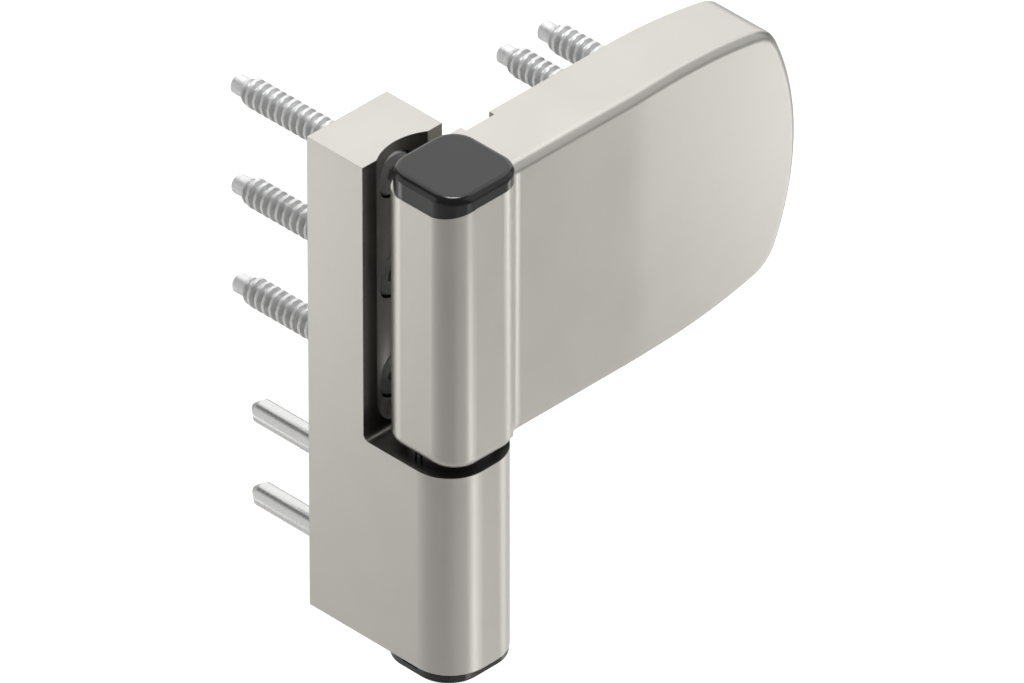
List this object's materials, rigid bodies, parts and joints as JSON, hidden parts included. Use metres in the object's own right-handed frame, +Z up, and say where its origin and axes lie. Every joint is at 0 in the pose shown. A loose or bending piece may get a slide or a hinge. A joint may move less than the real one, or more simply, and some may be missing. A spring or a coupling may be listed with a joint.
{
  "type": "surface-mounted door hinge",
  "caption": "Surface-mounted door hinge: a flat frame part with a lower knuckle, and a hollow leaf whose barrel swings on a hidden pin and hides an adjustable base plate.",
  "frame": {"origin": "middle of the frame part's back face, level with the top of its knuckle", "axes": "+X along the wall towards the leaf, +Y into the wall, +Z up along the hinge axis"},
  "size_m": [0.107, 0.0739, 0.1226],
  "materials": {
    "cast_metal": "fine satin",
    "cap_plastic": "satin moulded black",
    "bush_plastic": "smooth black",
    "zinc_plated_steel": "zinc plated",
    "pin_steel": "ground",
    "plate_steel": "pressed, zinc plated",
    "dark_screw_steel": "blackened"
  },
  "bodies": {
    "frame": {"frame_bracket": "cast_metal", "frame_screw_bottom": "zinc_plated_steel", "frame_screw_middle": "zinc_plated_steel", "frame_screw_top": "zinc_plated_steel", "locating_pin_lower": "pin_steel", "locating_pin_upper": "pin_steel", "lower_bush": "bush_plastic", "bottom_cap": "cap_plastic"},
    "lift": {"thrust_pad": "pin_steel"},
    "jack": {"height_screw": "dark_screw_steel"},
    "leaf": {"leaf_casting": "cast_metal", "hinge_pin": "pin_steel", "upper_bush": "bush_plastic", "pin_set_screw": "dark_screw_steel", "top_cap": "cap_plastic", "clamp_screw_inner": "dark_screw_steel", "clamp_screw_outer": "dark_screw_steel"},
    "side_adjuster": {"side_screw": "dark_screw_steel", "side_screw_clip": "dark_screw_steel"},
    "sash_plate": {"base_plate": "plate_steel", "adjusting_block": "plate_steel", "block_screw_lower": "dark_screw_steel", "block_screw_upper": "dark_screw_steel", "sash_screw_lower_inner": "zinc_plated_steel", "sash_screw_lower_outer": "zinc_plated_steel", "sash_screw_upper_inner": "zinc_plated_steel", "sash_screw_upper_outer": "zinc_plated_steel"}
  },
  "joints": [
    {"name": "height_slide", "type": "slide", "parent": "frame", "child": "lift", "axis": [0, 0, 1], "range_m": [0, 0.004]},
    {"name": "height_screw_turn", "type": "hinge", "parent": "lift", "child": "jack", "pos_m": [0, -0.03, -0.041], "axis": [0, 0, 1], "range_deg": [0, 961]},
    {"name": "door_swing", "type": "hinge", "parent": "lift", "child": "leaf", "pos_m": [0, -0.03, 0], "axis": [0, 0, -1], "range_deg": [0, 180]},
    {"name": "side_slide", "type": "slide", "parent": "leaf", "child": "sash_plate", "axis": [1, 0, 0], "range_m": [-0.003, 0.003]},
    {"name": "side_screw_turn", "type": "hinge", "parent": "leaf", "child": "side_adjuster", "pos_m": [0.032, -0.0276, 0.03447], "axis": [1, 0, 0], "range_deg": [-1081, 1081]}
  ],
  "couplings": [
    {"joint": "height_screw_turn", "follows": "height_slide", "rad_per_m": 4188.8},
    {"joint": "side_screw_turn", "follows": "side_slide", "rad_per_m": -6283.2}
  ]
}
